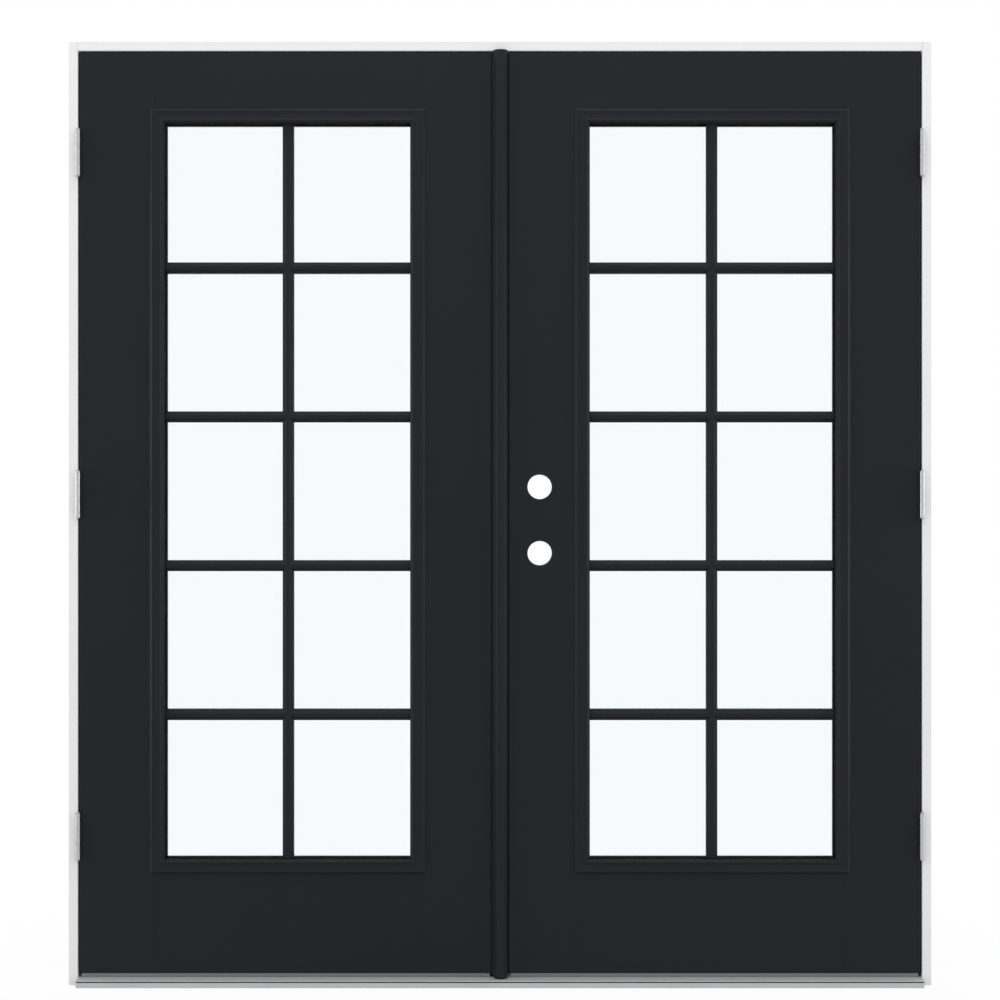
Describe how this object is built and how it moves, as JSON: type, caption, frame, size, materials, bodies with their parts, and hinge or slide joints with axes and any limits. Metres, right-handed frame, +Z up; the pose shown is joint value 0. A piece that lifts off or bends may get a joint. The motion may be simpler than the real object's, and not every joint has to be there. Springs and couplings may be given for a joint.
{
  "type": "outswing french doors with frame",
  "caption": "Glazed double door leaves hinged in a frame with a sill, opening outwards; the left leaf holds the astragal and flush bolts, the right leaf the lock bores.",
  "frame": {"origin": "middle of the unit's width, underside of the sill, exterior face plane of the frame", "axes": "+X to the right seen from outside, +Y from the outside towards the inside, +Z up"},
  "size_m": [1.8924, 0.1449, 2.0701],
  "materials": {
    "frame_primer": "smooth white primer",
    "weather_seal": "matt",
    "strike_steel": "satin",
    "sill_aluminium": "mill finish",
    "sill_composite": "matt",
    "stile_timber": "painted edge",
    "hinge_steel": "satin zinc",
    "rail_composite": "matt",
    "foam": "rigid foam",
    "leaf_skin": "smooth satin paint",
    "lite_moulding": "satin paint",
    "bar_moulding": "satin paint",
    "spacer": "matt black",
    "clear_glass": "clear",
    "black_rubber": "matt",
    "astragal_finish": "satin paint",
    "guide_plastic": "matt",
    "bolt_steel": "satin"
  },
  "bodies": {
    "frame": {"frame_hinge_bottom_left": "hinge_steel", "frame_hinge_bottom_right": "hinge_steel", "frame_hinge_middle_left": "hinge_steel", "frame_hinge_middle_right": "hinge_steel", "frame_hinge_top_left": "hinge_steel", "frame_hinge_top_right": "hinge_steel", "head_jamb": "frame_primer", "head_seal": "weather_seal", "head_strike": "strike_steel", "hinge_pins": "hinge_steel", "jamb_left": "frame_primer", "jamb_right": "frame_primer", "jamb_seals": "weather_seal", "sill_bumper": "weather_seal", "sill_deck": "sill_aluminium", "sill_riser": "sill_aluminium", "sill_substrate": "sill_composite"},
    "passive_leaf": {"astragal_body": "astragal_finish", "astragal_boot": "black_rubber", "astragal_nose": "astragal_finish", "astragal_seal": "black_rubber", "bolt_guides": "guide_plastic", "passive_bars_inner": "bar_moulding", "passive_bars_outer": "bar_moulding", "passive_bottom_rail": "rail_composite", "passive_foam_core": "foam", "passive_glass_inner": "clear_glass", "passive_glass_outer": "clear_glass", "passive_glass_spacer": "spacer", "passive_hinge_bottom": "hinge_steel", "passive_hinge_middle": "hinge_steel", "passive_hinge_stile": "stile_timber", "passive_hinge_top": "hinge_steel", "passive_inner_skin": "leaf_skin", "passive_lite_frame_inner": "lite_moulding", "passive_lite_frame_outer": "lite_moulding", "passive_lock_stile": "stile_timber", "passive_outer_skin": "leaf_skin", "passive_sweep": "black_rubber", "passive_top_rail": "rail_composite"},
    "active_leaf": {"active_bars_inner": "bar_moulding", "active_bars_outer": "bar_moulding", "active_bottom_rail": "rail_composite", "active_foam_core": "foam", "active_glass_inner": "clear_glass", "active_glass_outer": "clear_glass", "active_glass_spacer": "spacer", "active_hinge_bottom": "hinge_steel", "active_hinge_middle": "hinge_steel", "active_hinge_stile": "stile_timber", "active_hinge_top": "hinge_steel", "active_inner_skin": "leaf_skin", "active_lite_frame_inner": "lite_moulding", "active_lite_frame_outer": "lite_moulding", "active_lock_stile": "stile_timber", "active_outer_skin": "leaf_skin", "active_sweep": "black_rubber", "active_top_rail": "rail_composite"},
    "top_bolt": {"top_flush_bolt": "bolt_steel"},
    "bottom_bolt": {"bottom_flush_bolt": "bolt_steel"}
  },
  "joints": [
    {"name": "passive_leaf_swing", "type": "hinge", "parent": "frame", "child": "passive_leaf", "pos_m": [-0.92465, -0.0095, 0], "axis": [0, 0, -1], "range_deg": [0, 180]},
    {"name": "active_leaf_swing", "type": "hinge", "parent": "frame", "child": "active_leaf", "pos_m": [0.92465, -0.0095, 0], "axis": [0, 0, 1], "range_deg": [0, 180]},
    {"name": "top_bolt_slide", "type": "slide", "parent": "passive_leaf", "child": "top_bolt", "axis": [0, 0, 1], "range_m": [0, 0.016]},
    {"name": "bottom_bolt_slide", "type": "slide", "parent": "passive_leaf", "child": "bottom_bolt", "axis": [0, 0, -1], "range_m": [0, 0.016]}
  ]
}
